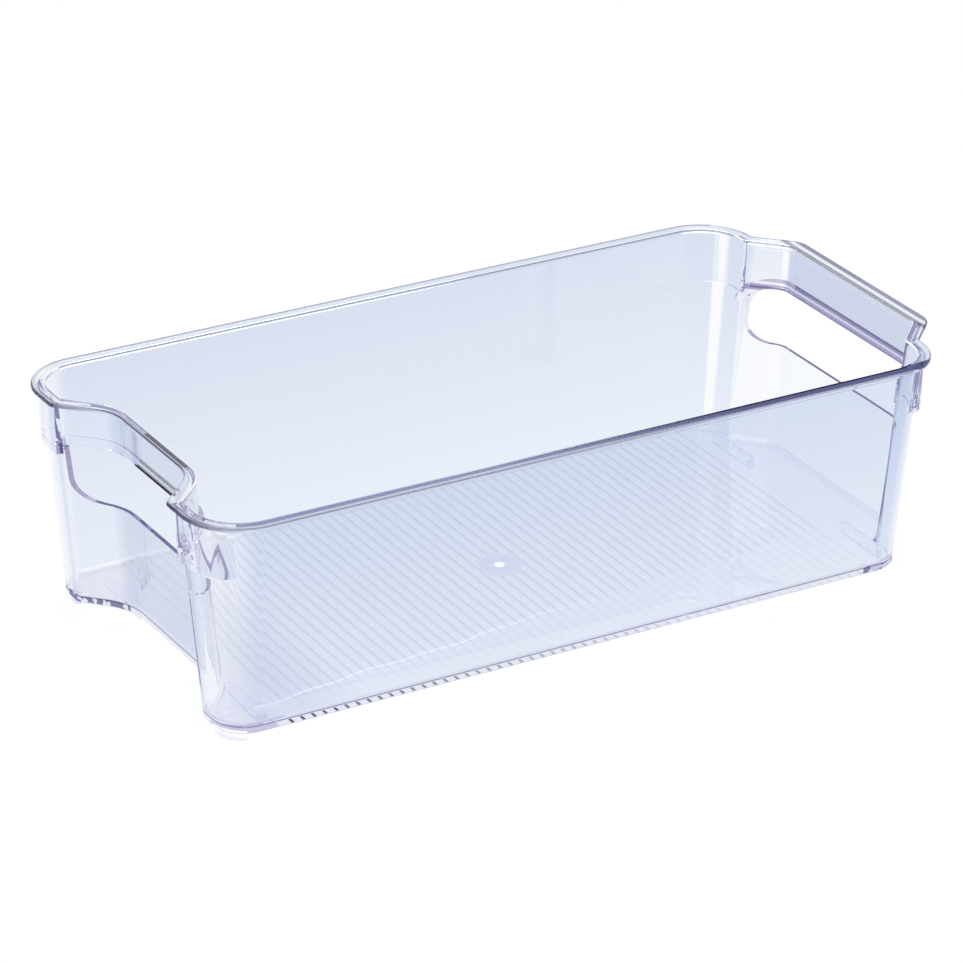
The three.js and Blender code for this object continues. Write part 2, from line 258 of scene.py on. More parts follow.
def plan_at(z, inset, recess_inset=None, bulge_inset=None):
    """The bin's plan at height z, moved inwards from the outer face of its walls."""
    s = sizes()
    recess_inset = inset if recess_inset is None else recess_inset
    bulge_inset = inset if bulge_inset is None else bulge_inset
    drop = rim_underside() - z
    side = drop * math.tan(s.side_draft) + inset
    lean = drop * math.tan(s.end_draft)
    half = CAD_SIZE.y / 2 - s.rim_overhang - side
    left_face = CAD_LOW.x + s.rim_overhang
    right_face = CAD_HIGH.x - s.bulge_overhang - s.bulge_depth
    left = left_face + lean + inset
    right = right_face - lean - inset
    recess = left_face + s.recess_depth + lean + recess_inset
    bulge = right_face + s.bulge_depth - lean - bulge_inset
    crease_shift = (lean + inset) * CREASE_SLOPE
    left_crease = s.recess_span / 2 + crease_shift
    right_crease = s.bulge_span / 2 - crease_shift
    recess_edge = left_crease - (recess - left)
    bulge_edge = right_crease - (bulge - right)
    corner = max(s.corner_radius - side, SMALLEST)
    inward = max(inset, 0)
    out_crease = max(s.crease_radius + s.wall - inward, SMALLEST)
    in_crease = s.crease_radius + inward
    out_bend = max(s.bulge_bend - max(bulge_inset, 0), SMALLEST)
    in_bend = s.recess_bend + lean + recess_inset
    return rounded_outline([
        (left, -half, corner, CORNER_STEPS), (right, -half, corner, CORNER_STEPS),
        (right, -right_crease, in_crease, CREASE_STEPS), (bulge, -bulge_edge, out_bend, BEND_STEPS),
        (bulge, bulge_edge, out_bend, BEND_STEPS), (right, right_crease, in_crease, CREASE_STEPS),
        (right, half, corner, CORNER_STEPS), (left, half, corner, CORNER_STEPS),
        (left, left_crease, out_crease, CREASE_STEPS), (recess, recess_edge, in_bend, BEND_STEPS),
        (recess, -recess_edge, in_bend, BEND_STEPS), (left, -left_crease, out_crease, CREASE_STEPS),
    ])


def at_height(points, z):
    return [Vector((point.x, point.y, z)) for point in points]


def level(z, inset):
    """The bin's plan as a ring at height z."""
    return at_height(plan_at(z, inset), z)


def floor_half_width():
    """Half the width of the floor plate's underside."""
    return max(point.y for point in plan_at(FOOT_TOP, 0))


def flare_level(z, share, inset=0):
    """The plan as a ring at height z, grown by a share of the rim's overhang and then moved inwards."""
    s = sizes()
    overhangs = (s.rim_overhang, s.recess_overhang, s.bulge_overhang)
    return at_height(plan_at(z, *(inset - share * overhang for overhang in overhangs)), z)


def round_edge(radius, steps=SMALL_EDGE_STEPS):
    """Height and inset of a round edge at each of its steps, from its foot upwards."""
    angles = [math.pi / 2 * step / steps for step in range(steps + 1)]
    return [((1 - math.cos(angle)) * radius, (1 - math.sin(angle)) * radius) for angle in angles]


# Modelling by hand


def deselect():
    bpy.ops.object.select_all(action="DESELECT")


def focus(piece):
    """Selects one object alone and makes it the active one."""
    deselect()
    piece.select_set(True)
    bpy.context.view_layer.objects.active = piece


def loft(name, rings):
    """A closed body made from a polygon that is extruded from ring to ring."""
    deselect()
    bpy.ops.mesh.primitive_circle_add(vertices=len(rings[0]), fill_type="NGON")
    piece = bpy.context.object
    piece.name = name
    bpy.ops.object.mode_set(mode="EDIT")
    bpy.ops.mesh.select_mode(type="FACE")
    bpy.ops.mesh.select_all(action="SELECT")
    for index, ring in enumerate(rings):
        if index:
            bpy.ops.mesh.extrude_region_move()
        mesh = bmesh.from_edit_mesh(piece.data)
        cap = next(face for face in mesh.faces if face.select)
        for vertex, place in zip(cap.verts, ring):
            vertex.co = place
        bmesh.update_edit_mesh(piece.data)
    bpy.ops.mesh.select_all(action="SELECT")
    bpy.ops.mesh.normals_make_consistent(inside=False)
    bpy.ops.object.mode_set(mode="OBJECT")
    return piece


def join(pieces):
    """Makes one object of several."""
    focus(pieces[0])
    for piece in pieces:
        piece.select_set(True)
    bpy.ops.object.join()
    return pieces[0]


def combine(piece, tool, operation):
    """Joins, cuts or keeps what two bodies share, and uses up the second one."""
    focus(piece)
    modifier = piece.modifiers.new(operation.title(), "BOOLEAN")
    modifier.operation = operation
    modifier.object = tool
    modifier.solver = "MANIFOLD"
    bpy.ops.object.modifier_apply(modifier=modifier.name)
    bpy.data.objects.remove(tool)
    return piece


def the_bin():
    return bpy.data.objects[PIECE_NAME]


# The pieces of the moulding


class ORGANIZER_OT_shell(bpy.types.Operator):
    """Floor, walls and rim in one skin: up the outside, over the flange and down the inside"""

    bl_idname = "organizer.shell"
    bl_label = "Shell"

    def execute(self, context):
        s = sizes()
        top = CAD_HIGH.z
        under = rim_underside()
        lip = SMALLEST
        rings = [level(FOOT_TOP + rise, inset) for rise, inset in round_edge(s.under_edge, EDGE_STEPS)]
        rings += [flare_level(under - inset * s.rim_fillet, rise * RIM_FILLET_SHARE)
                  for rise, inset in round_edge(1, FILLET_STEPS)]
        rings.append(flare_level(under, 1, lip / 2))
        rings.append(flare_level(under + lip / 2, 1))
        rings += [flare_level(top - rise, 1, inset)
                  for rise, inset in reversed(round_edge(s.rim_edge, EDGE_STEPS))]
        rings += [level(top - inset, s.wall - rise) for rise, inset in round_edge(s.rim_inner_edge)]
        rings += [level(FLOOR_TOP + rise, s.wall + inset)
                  for rise, inset in reversed(round_edge(s.floor_fillet, FILLET_STEPS))]
        loft(PIECE_NAME, rings)
        return {"FINISHED"}


class ORGANIZER_OT_ledges(bpy.types.Operator):
    """The four ledges that stand out from the corners above the hand holes' upper edge"""

    bl_idname = "organizer.ledges"
    bl_label = "Ledges"

    def shares(self):
        """A ledge's depth at each point of a plan: whole beside a crease, fading round the corner."""
        slope = LEDGE_END_SHARE - LEDGE_FULL_SHARE
        fading = [min(1, max(0, (LEDGE_END_SHARE - step / CORNER_STEPS) / slope))
                  for step in range(CORNER_STEPS + 1)]
        leaving = [1 - step / CREASE_STEPS for step in range(CREASE_STEPS + 1)]
        none = [0] * (BEND_STEPS + 1)
        half = [*fading, *reversed(fading), *leaving, *none, *none, *reversed(leaving)]
        return half + half

    def ring(self, z, out):
        """The plan round the ledges, which runs inside the wall where there is none."""
        inside = level(z, sizes().wall / 2)
        return [near.lerp(far, share) for near, far, share in zip(inside, level(z, -out), self.shares())]

    def execute(self, context):
        s = sizes()
        under = rim_underside()
        foot = under - s.ledge_height
        seat = under + s.rim_thickness / 2
        round_foot = [self.ring(foot + rise, s.ledge_out - inset) for rise, inset in round_edge(s.ledge_edge)]
        collar = loft("ledges", [*round_foot, self.ring(seat, s.ledge_top_out)])
        core = loft("core", [level(z, s.wall * LEDGE_CORE_SHARE) for z in (foot - s.wall, CAD_SIZE.z)])
        combine(collar, core, "DIFFERENCE")
        combine(the_bin(), collar, "UNION")
        return {"FINISHED"}


def hole_outline(width, top_radius, margin, top_margin):
    """A hand hole's outline in Y and Z, grown by a margin."""
    s = sizes()
    half = width / 2 + margin
    low, high = HOLE_TOP - s.hole_height - margin, HOLE_TOP + top_margin
    lower, upper = s.hole_corner + margin, top_radius + margin
    return rounded_outline([
        (-half, low, lower, BEND_STEPS), (half, low, lower, BEND_STEPS),
        (half, high, upper, BEND_STEPS), (-half, high, upper, BEND_STEPS),
    ])


def hole_prism(end, width, top_radius, margin):
    """A prism through an end, wider than its hand hole by a margin."""
    outline = hole_outline(width, top_radius, margin, margin)
    return loft("stretch", [[Vector((end * x, point.x, point.y)) for point in outline]
                            for x in (CAD_SIZE.x / 4, CAD_SIZE.x)])


def ends():
    """For each end its direction, and its hand hole's width and upper corner radius."""
    s = sizes()
    return (-1, LEFT_HOLE_WIDTH, s.left_hole_top), (1, RIGHT_HOLE_WIDTH, s.right_hole_top)


class ORGANIZER_OT_beads(bpy.types.Operator):
    """The bead inside each grip, which follows the hand hole's upper edge"""

    bl_idname = "organizer.beads"
    bl_label = "Beads"

    def execute(self, context):
        s = sizes()
        root = s.wall * BEAD_ROOT_SHARE
        shares = [step / BEAD_STEPS for step in range(BEAD_STEPS + 1)]
        swell = [(1 - abs(2 * share - 1) ** BEAD_SQUARENESS) ** (1 / BEAD_SQUARENESS) for share in shares]
        high = HOLE_TOP + s.bead_height
        for end, width, top_radius in ends():
            low = HOLE_TOP - top_radius
            bead = loft("bead", [level(low, s.wall / 2), level(high, s.wall / 2)])
            inside = [level(low - s.wall, root)]
            inside += [level(low + (high - low) * share, root + s.bead_depth * depth)
                       for share, depth in zip(shares, swell)]
            inside.append(level(high + s.wall, root))
            combine(bead, loft("inside", inside), "DIFFERENCE")
            combine(bead, hole_prism(end, width, top_radius, s.bead_height), "INTERSECT")
            combine(the_bin(), bead, "UNION")
        return {"FINISHED"}


def wall_reach(end, y, z, inset):
    """How far out along X the wall's face lies at one place of an end."""
    ring = plan_at(z, inset)
    reach = []
    for near, far in zip(ring, ring[1:] + ring[:1]):
        if (near.y - y) * (far.y - y) <= 0 and near.y != far.y and end * near.x > 0:
            reach.append(end * near.lerp(far, (y - near.y) / (far.y - near.y)).x)
    return max(reach)


class ORGANIZER_OT_hand_holes(bpy.types.Operator):
    """The hand hole through each end, with its rounded moulded edges"""

    bl_idname = "organizer.hand_holes"
    bl_label = "Hand holes"

    def outline(self, width, top_radius, margin, top_margin):
        """The hole's outline with points close enough to follow the bends of the wall."""
        corners = hole_outline(width, top_radius, margin, top_margin)
        points = []
        for index, (near, far) in enumerate(zip(corners, corners[1:] + corners[:1])):
            steps = LONG_EDGE_STEPS if index in (BEND_STEPS, 3 * BEND_STEPS + 2) else 1
            points += [near.lerp(far, step / steps) for step in range(steps)]
        return points

    def cutter(self, end, width, top_radius):
        """A body through the wall that widens towards its outer face, and inside below the grip."""
        s = sizes()
        edge = s.hole_edge

        def ring(depth, margin, top_margin):
            return [Vector((end * wall_reach(end, point.x, point.y, depth), point.x, point.y))
                    for point in self.outline(width, top_radius, margin, top_margin)]

        wide = self.outline(width, top_radius, edge, edge)
        low_wide = self.outline(width, top_radius, edge, 0)
        rings = [[Vector((end * CAD_SIZE.x, point.x, point.y)) for point in wide]]
        turns = round_edge(edge)
        rings += [ring(rise - CLEAR_OF_FACE, inset, inset) for rise, inset in turns]
        rings += [ring(s.wall - rise + CLEAR_OF_FACE, inset, 0) for rise, inset in reversed(turns)]
        rings.append([Vector((end * CAD_SIZE.x / 4, point.x, point.y)) for point in low_wide])
        return loft("hand_hole", rings)

    def execute(self, context):
        for end, width, top_radius in ends():
            combine(the_bin(), self.cutter(end, width, top_radius), "DIFFERENCE")
        return {"FINISHED"}


class ORGANIZER_OT_ribs(bpy.types.Operator):
    """The grooves between the ribs under the floor, and the round gate mark"""

    bl_idname = "organizer.ribs"
    bl_label = "Ribs and gate mark"

    def comb(self, depth, low, high):
        """A row of wavy bars across the underside of the floor."""
        s = sizes()
        count = int(s.ribbed_length / s.rib_pitch)
        first = -(count - 1) / 2 * s.rib_pitch
        mouth = s.rib_groove / 2
        wave = [step / WAVE_STEPS * 2 - 1 for step in range(WAVE_STEPS + 1)]
        section = [(-mouth, -depth), (mouth, -depth)]
        section += [(-share * mouth, depth * (0.5 + 0.5 * math.cos(math.pi * share))) for share in wave]
        bars = loft("grooves", [[Vector((first + x, y, FOOT_TOP + z)) for x, z in section]
                                for y in (low, high)])
        row = bars.modifiers.new("Row", "ARRAY")
        row.count = count
        row.use_relative_offset = False
        row.use_constant_offset = True
        row.constant_offset_displace = (s.rib_pitch, 0, 0)
        focus(bars)
        bpy.ops.object.modifier_apply(modifier=row.name)
        return bars

    def execute(self, context):
        s = sizes()
        reach = floor_half_width() - s.groove_margin
        grooves = self.comb(s.rib_depth, -reach, reach)
        deselect()
        bpy.ops.mesh.primitive_cylinder_add(
            vertices=GATE_SIDES, radius=s.gate_radius, depth=4 * s.rib_depth, location=(0, 0, FOOT_TOP))
        combine(grooves, bpy.context.object, "DIFFERENCE")
        combine(the_bin(), grooves, "DIFFERENCE")
        deselect()
        bpy.ops.mesh.primitive_uv_sphere_add(
            segments=NUB_SEGMENTS, ring_count=NUB_RINGS, radius=s.gate_nub, location=(0, 0, FOOT_TOP),
            scale=(1, 1, s.gate_nub_height / s.gate_nub))
        combine(the_bin(), bpy.context.object, "UNION")
        return {"FINISHED"}


class ORGANIZER_OT_feet(bpy.types.Operator):
    """Four straight feet and the two short curved ones"""

    bl_idname = "organizer.feet"
    bl_label = "Feet"

    def stand(self, outline_at):
        """A foot from the surface up into the floor, with round lower edges."""
        s = sizes()
        rings = [at_height(outline_at(inset), rise) for rise, inset in round_edge(s.foot_edge)]
        rings.append(at_height(outline_at(0), FOOT_TOP + s.wall / 2))
        return loft("foot", rings)

    def straight(self, low, high):
        """A foot with round ends in the box between two corners."""
        def outline_at(inset):
            radius = (high.x - low.x) / 2 - inset
            left, right, front, back = low.x + inset, high.x - inset, low.y + inset, high.y - inset
            return rounded_outline([(x, y, radius, FOOT_STEPS) for x, y in (
                (left, front), (right, front), (right, back), (left, back))])
        return self.stand(outline_at)

    def arc(self, about, radius, first, span, side, steps):
        """Points on an arc in plan, which is mirrored for the front side."""
        angles = [first + span * step / steps for step in range(steps + 1)]
        return [about + radius * Vector((math.cos(angle), side * math.sin(angle))) for angle in angles]

    def curved(self, side):
        """A foot that follows the front (side -1) or back (side 1) left corner of the floor."""
        s = sizes()
        drop = rim_underside() - FOOT_TOP
        radius = s.corner_radius - drop * math.tan(s.side_draft)
        centre = Vector((
            CAD_LOW.x + s.rim_overhang + drop * math.tan(s.end_draft) + radius,
            side * (CAD_SIZE.y / 2 - s.rim_overhang - s.corner_radius)))
        middle = radius - s.foot_inset - s.foot_width / 2
        near_end, far_end = self.arc(centre, middle, math.pi, FOOT_SWEEP, side, 1)

        def outline_at(inset):
            half = s.foot_width / 2 - inset
            turned = math.pi + FOOT_SWEEP
            points = self.arc(centre, middle + half, math.pi, FOOT_SWEEP, side, FOOT_CURVE_STEPS)
            points += self.arc(far_end, half, turned, -math.pi, side, FOOT_STEPS)
            points += self.arc(centre, middle - half, turned, -FOOT_SWEEP, side, FOOT_CURVE_STEPS)
            points += self.arc(near_end, half, 2 * math.pi, -math.pi, side, FOOT_STEPS)
            return points if side < 0 else points[::-1]
        return self.stand(outline_at)

    def execute(self, context):
        names = [f"{end}_{side}_foot" for end in ("left", "right") for side in ("front", "back")]
        feet = [self.straight(*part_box(name)) for name in names]
        feet += [self.curved(side) for side in (-1, 1)]
        combine(the_bin(), join(feet), "UNION")
        return {"FINISHED"}


# Material

HALF_LENGTH = CAD_SIZE.x / 2
IOR = 1.5
ROUGHNESS = 0.02

# How many times light is thrown back or crosses a face before it leaks out, and before it is given up
CAUGHT_AFTER = 3.5
LOW_CAUGHT_AFTER = 0.5
LOST_AFTER = 10.5
FIRST_CROSSING = 0.5

# Limits of the masks: lengths, parts of a normal, and pairs of limits or of the ends of a ramp
HAIR = 0.1 * MM
LOW_HEIGHT = 0.2 * MM
MARGIN = 1 * MM
FACING_ACROSS = 0.3
FACING_LEVEL = 0.5
FACING_OUT = (0.85, 0.975)
END_REACH = 36 * MM
UPPER_END = (48 * MM, 88 * MM)
BAND_AZIMUTH = (math.radians(47), math.radians(69))
BAND_SHARPNESS = 3
BAND_FOOT = 4 * MM
POST_AZIMUTH = (0.15, 0.65)
POST_REACH = 30 * MM
POST_SIDE = 54 * MM
FRONT_RISE = (-45 * MM, 55 * MM)
RIM_SIDE = 2 * MM
RIM_TURN = (0.2, 0.985)
STRIP_EDGE = -0.5 * MM
# Limits of the rim's painted violet shade
VIOLET_DEPTH = 0.5 * MM
VIOLET_FRONT = (-1 * MM, 4.2 * MM)
VIOLET_INNER = (-6.6 * MM, -4.4 * MM)
VIOLET_OUTER = (-2.6 * MM, 1 * MM)
VIOLET_LEFT = (-146 * MM, -162.67 * MM)
VIOLET_LEFT_HEIGHT = -0.3 * MM
VIOLET_LEFT_FACING = 0.6
BASE_LINE = (0.02 * MM, 0.3 * MM)
BASE_FACING = (-0.9, 0.05)
CUT_TOP = 0.5 * MM
CUT_FACING = 0.4
BEAD_FOOT = 0.8 * MM
BEAD_FACING = 0.35
CREASE_SHIFT = 0.4 * MM
CREASE_WIDTH = 0.8 * MM
CREASE_FROM = 130 * MM
# Where the painted shade spots in the floor's edge lie, and how fine and how many they are
RIGHT_SPECKS = (112 * MM, 134 * MM)
RIGHT_SPECKS_SIDE = 62 * MM
LEFT_SPECKS_END = -130 * MM
LEFT_SPECKS_SIDE = (34 * MM, 66 * MM)
SPECK_SCALE = 330.0
SPECK_LEVEL = 0.56
LEFT_SPECK_SHIFT = 0.08
LEFT_FLOOR = (-92 * MM, -117 * MM)
GRIP_LINE_MIDDLE = 3 * MM
GRIP_LINE_REACH = 16 * MM
GRIP_LINE_RISE = 0.5 * MM
GRIP_LINE_WIDTH = 0.6 * MM
GATE_SOFTNESS = 2.5 * MM
GLINT_MARGIN = 0.4 * MM
GLINT_SOFTNESS = 1.4 * MM
RIB_LINE_HEIGHT = 0.5 * MM
# Where the painted highlight's wavy line lies and where it fades
RIPPLE_INSET = 44 * MM
RIPPLE_SLANT = 0.1
RIPPLE_WAVES = ((4.2 * MM, 0.5 * MM), (11 * MM, 0.7 * MM))
RIPPLE_WIDTH = 0.9 * MM
RIPPLE_FADE = (40 * MM, -40 * MM)
RIPPLE_END = -134 * MM
RIPPLE_FACING = 0.9
TICK_FADE = 230 * MM
TICK_RUN = 7 * MM
PALE_LOWER, PALE_UPPER = 2 * MM, 5 * MM
PALE_RIM_DEPTH = 5 * MM
PALE_LEFT, PALE_LOW_LEFT, PALE_RIGHT = 13 * MM, 24 * MM, 27 * MM
PALE_NEAR_SIDE = 57 * MM
FRONT_CORNER_SIDE = 48 * MM
FRONT_CORNER_END = 127 * MM
FEET_CLEAR = 0.01 * MM

# How strong a mask is where it is whole
STRONG, MEDIUM, WEAK = 0.75, 0.6, 0.5
POST_SHARE = 0.8
FRONT_LIGHTER = 0.85
STRIP_SHARE = 0.55
VIOLET_LEFT_SHARE = 0.9
NEAR_RIB_SHARE = 0.4
TICK_SHARE, FAR_TICK_SHARE = 0.45, 0.15


class Maths:
    """A shader socket that can be written in sums, so that a formula reads as one."""

    def __init__(self, tree, socket):
        self.tree = tree
        self.socket = socket

    def node(self, kind, settings=None, **values):
        """Adds a node, first with its settings and then with the values or links of its sockets."""
        node = self.tree.nodes.new(kind)
        for key, value in (settings or {}).items():
            setattr(node, key, value)
        for key, value in values.items():
            numbered = key[0] == "i" and key[1:].isdigit()
            socket = node.inputs[int(key[1:]) if numbered else key.replace("_", " ")]
            if isinstance(value, Maths):
                self.tree.links.new(value.socket, socket)
            else:
                socket.default_value = value
        return node

    def out(self, node, name=0):
        return Maths(self.tree, node.outputs[name])

    def new(self, kind, settings=None, **values):
        """The first output of a new node."""
        return self.out(self.node(kind, settings, **values))

    def math(self, operation, *values, clamp=False):
        return self.new("ShaderNodeMath", {"operation": operation, "use_clamp": clamp},
                        **{f"i{i}": value for i, value in enumerate(values)})

    def __add__(self, other):
        return self.math("ADD", self, other)

    __radd__ = __add__

    def __sub__(self, other):
        return self.math("SUBTRACT", self, other)

    def __rsub__(self, other):
        return self.math("SUBTRACT", other, self)

    def __mul__(self, other):
        return self.math("MULTIPLY", self, other)

    __rmul__ = __mul__

    def __truediv__(self, other):
        return self.math("DIVIDE", self, other)

    def __gt__(self, other):
        return self.math("GREATER_THAN", self, other)

    def __lt__(self, other):
        return self.math("LESS_THAN", self, other)

    def __abs__(self):
        return self.math("ABSOLUTE", self)

    def larger(self, other):
        return self.math("MAXIMUM", self, other)

    def between(self, low, high):
        """One between two limits and nothing elsewhere."""
        return (self > low) * (self < high)

    def ramp(self, start, end):
        """Nothing where this is at the start, one at the end, and straight on past both."""
        return (self - start) / (end - start)

    def clamped(self, factor=1):
        """This times a factor, kept between nothing and one."""
        return self.math("MULTIPLY", self, factor, clamp=True)

    def mix(self, first, second):
        """Blends two colours by this value."""
        node = self.node("ShaderNodeMix", {"data_type": "RGBA"}, i0=self, i6=first, i7=second)
        return self.out(node, 2)


def new_material(name):
    material = bpy.data.materials.new(name)
    material.use_nodes = True
    material.node_tree.nodes.clear()
    return material, Maths(material.node_tree, None)


def linear(colour):
    return (*colour, 1.0)


def see_through(shader, colour):
    """Lets light straight on, tinted."""
    return shader.new("ShaderNodeBsdfTransparent", Color=linear(colour))


def glowing(shader, colour):
    """Gives light of its own."""
    return shader.new("ShaderNodeEmission", Color=linear(colour), Strength=1.0)


def choose(shader, factor, first, second):
    """Blends two shaders by a factor."""
    return shader.new("ShaderNodeMixShader", i0=factor, i1=first, i2=second)


class Spot:
    """Where a point of the moulding lies and which way its face looks, as shader values for masks."""

    def __init__(self, shader):
        place = shader.node("ShaderNodeTexCoord")
        split = shader.node("ShaderNodeSeparateXYZ", Vector=shader.out(place, "Object"))
        facing = shader.node("ShaderNodeSeparateXYZ", Vector=shader.out(place, "Normal"))
        self.shader = shader
        self.place = shader.out(place, "Object")
        self.run = shader.out(shader.node("ShaderNodeLightPath"), "Ray Length")
        self.x, self.y, self.z = (shader.out(split, axis) for axis in "XYZ")
        self.end, self.side = abs(self.x), abs(self.y)
        self.left, self.right, self.front = self.x < 0, self.x > 0, self.y < 0
        along, across, self.up = (shader.out(facing, axis) for axis in "XYZ")
        self.along = abs(along)
        self.azimuth = shader.math("ARCTAN2", self.along, abs(across))

    def in_end(self):
        """The ends between their posts."""
        return (self.end > HALF_LENGTH - END_REACH) * (self.side < RIGHT_HOLE_WIDTH / 2 + MARGIN)

    def rise(self):
        """The share of the way from the floor up to the rim."""
        return self.z.ramp(FLOOR_TOP, rim_underside())

    def low(self):
        """The floor plate and the feet."""
        return self.z < FLOOR_TOP + LOW_HEIGHT

    def lighter(self):
        """Painted light: how much lighter an end is than a long wall: wholly, but for the upper part of the
        right one.
        """
        return 1 - MEDIUM * self.z.ramp(*UPPER_END).clamped(self.right)

    def middle(self):
        """The middle of an end, whole where it faces straight out."""
        return self.in_end() * self.along.ramp(*FACING_OUT).clamped()

    def grip(self):
        """Everything above the hand holes."""
        return self.z > HOLE_TOP - sizes().hole_edge

    def right_rim_top(self):
        """The flat top of the rim at the right end, which gets the grip's painted shade."""
        return self.in_end() * self.right * (self.z > CAD_HIGH.z - HAIR) * MEDIUM

    def bands(self):
        """Painted light: upright bands round the corners and bends, where the wall faces between a side and
        an end.
        """
        low, high = BAND_AZIMUTH
        nearness = abs(self.azimuth - (low + high) / 2).ramp((high - low) / 2, 0)
        upright = (abs(self.up) < FACING_ACROSS) * (self.z > FLOOR_TOP + BAND_FOOT)
        return (nearness * BAND_SHARPNESS).clamped(upright * (1 - self.in_end() * self.left))

    def posts(self):
        """Painted light: how much lighter the left posts are than the long walls: wholly, where they have
        turned away.
        """
        post = (self.x < POST_REACH - HALF_LENGTH) * (self.side > POST_SIDE) * (1 - self.low())
        return self.azimuth.ramp(*POST_AZIMUTH).clamped() * post * POST_SHARE

    def front_rise(self):
        """Grows from nothing to one along the front, from the left to the right."""
        return self.x.ramp(*FRONT_RISE).clamped()

    def rim_lines(self):
        """Painted shade: thin darker lines where the rim's upper edges turn, fainter on the outside of the
        front.
        """
        outer_front = (self.side > CAD_HIGH.y - RIM_SIDE) * self.front * self.front_rise()
        lines = (self.z > CAD_HIGH.z - sizes().rim_edge) * self.up.between(*RIM_TURN)
        return lines * (1 - FRONT_LIGHTER * outer_front)

    def rim_strip(self):
        """Painted shade: a darker strip along the rim's outer edge, on its flat top."""
        s = sizes()
        radius = s.corner_radius + s.rim_overhang
        post_face = CAD_HIGH.x - s.bulge_overhang - s.bulge_depth + s.rim_overhang
        reach = CAD_HIGH.x + (post_face - CAD_HIGH.x) * self.right
        past_x = (self.end - reach + radius).larger(0)
        past_y = (self.side - CAD_HIGH.y + radius).larger(0)
        depth = radius - self.shader.math("SQRT", past_x * past_x + past_y * past_y)
        near = depth.between(STRIP_EDGE, s.rim_strip).larger(CAD_HIGH.x - self.x < s.rim_strip)
        strength = STRIP_SHARE * (1 - FRONT_LIGHTER * self.front * self.front_rise())
        return near * (self.z > CAD_HIGH.z - HAIR) * strength

    def violet_rim_shade(self):
        """Painted shade: the stretches of the rim that are dark violet: its front, the left corners and the
        right end.
        """
        s = sizes()
        top = self.z > CAD_HIGH.z - VIOLET_DEPTH
        out_of_wall = self.side - (CAD_HIGH.y - s.rim_overhang - s.wall)
        front = self.front * out_of_wall.between(*VIOLET_FRONT) * top * self.front_rise()
        past_end = self.end - HALF_LENGTH
        strips = past_end.between(*VIOLET_INNER) + past_end.between(*VIOLET_OUTER)
        right = self.right * strips * top * MEDIUM
        flange = (self.z > rim_underside() + VIOLET_LEFT_HEIGHT) * (self.up < VIOLET_LEFT_FACING)
        left = self.x.ramp(*VIOLET_LEFT).clamped() * flange * VIOLET_LEFT_SHARE
        return front.larger(right).larger(left)

    def base_lines(self):
        """Painted shade: thin darker lines along the floor plate's upper and lower edges, on the outer face.
        """
        start, end = BASE_LINE
        upper = (abs(self.z - FLOOR_TOP) < end) * STRONG
        lower = self.z.between(FOOT_TOP + start, FOOT_TOP + end) * WEAK
        return upper.larger(lower) * self.up.between(*BASE_FACING)

    def cut_face_shade(self):
        """Painted shade on the faces that the hand holes show of the wall's thickness, and on the turns of
        the right bead.
        """
        s = sizes()
        hole = self.z.between(HOLE_TOP - s.hole_height - MARGIN, HOLE_TOP + CUT_TOP)
        hole = hole * (self.along < CUT_FACING)
        hole = hole * (1 - STRONG * self.right * (self.up < FACING_LEVEL))
        bead = self.z.between(HOLE_TOP - MARGIN, HOLE_TOP + s.bead_height + MARGIN)
        bead = bead * (abs(self.up) > BEAD_FACING).larger(self.z < HOLE_TOP + BEAD_FOOT)
        return self.in_end() * hole.larger(bead * self.right)

    def near_crease(self):
        """Painted shade: the dark upright line where the bulge leaves the near right post."""
        s = sizes()
        lean = (rim_underside() - self.z) * math.tan(s.end_draft)
        crease = s.bulge_span / 2 - CREASE_SHIFT - lean * CREASE_SLOPE
        beside = (abs(self.side - crease) < CREASE_WIDTH) * self.front * (self.x > CREASE_FROM)
        return beside * self.z.between(FLOOR_TOP, rim_underside()) * STRONG

    def shade_specks(self):
        """Painted shade: small dark spots in the floor's edge near two of its corners."""
        right = self.x.between(*RIGHT_SPECKS) * self.front * (self.side > RIGHT_SPECKS_SIDE)
        left = (self.x < LEFT_SPECKS_END) * self.y.between(*LEFT_SPECKS_SIDE)
        grain = self.shader.new("ShaderNodeTexNoise", Scale=SPECK_SCALE, Detail=1.0, Vector=self.place)
        dark = grain > SPECK_LEVEL - LEFT_SPECK_SHIFT * left
        edge = self.low() * (abs(self.up) < FACING_ACROSS) * (self.z > FOOT_TOP)
        return edge * (right + left) * dark * STRONG

    def left_floor_shade(self):
        """How much of the painted shade cast by the left end the floor has."""
        return self.x.ramp(*LEFT_FLOOR).clamped(self.low())

    def dark_grip_line(self):
        """Painted shade: the nearly black line under the straight part of the left grip."""
        stretch = abs(self.y - GRIP_LINE_MIDDLE) < GRIP_LINE_REACH
        line = abs(self.z - HOLE_TOP - GRIP_LINE_RISE) < GRIP_LINE_WIDTH
        return self.in_end() * self.left * stretch * line

    def from_gate(self):
        return self.shader.math("SQRT", self.x * self.x + self.y * self.y)

    def gate_spot(self, radius, softness):
        """A disc with a soft edge in the middle of the underside."""
        return self.from_gate().ramp(radius, radius - softness).clamped(self.z < FLOOR_TOP - MARGIN)

    def from_rib(self):
        """How far a point lies along X from the middle of the nearest rib."""
        return self.shader.math("PINGPONG", self.x, sizes().rib_pitch / 2)

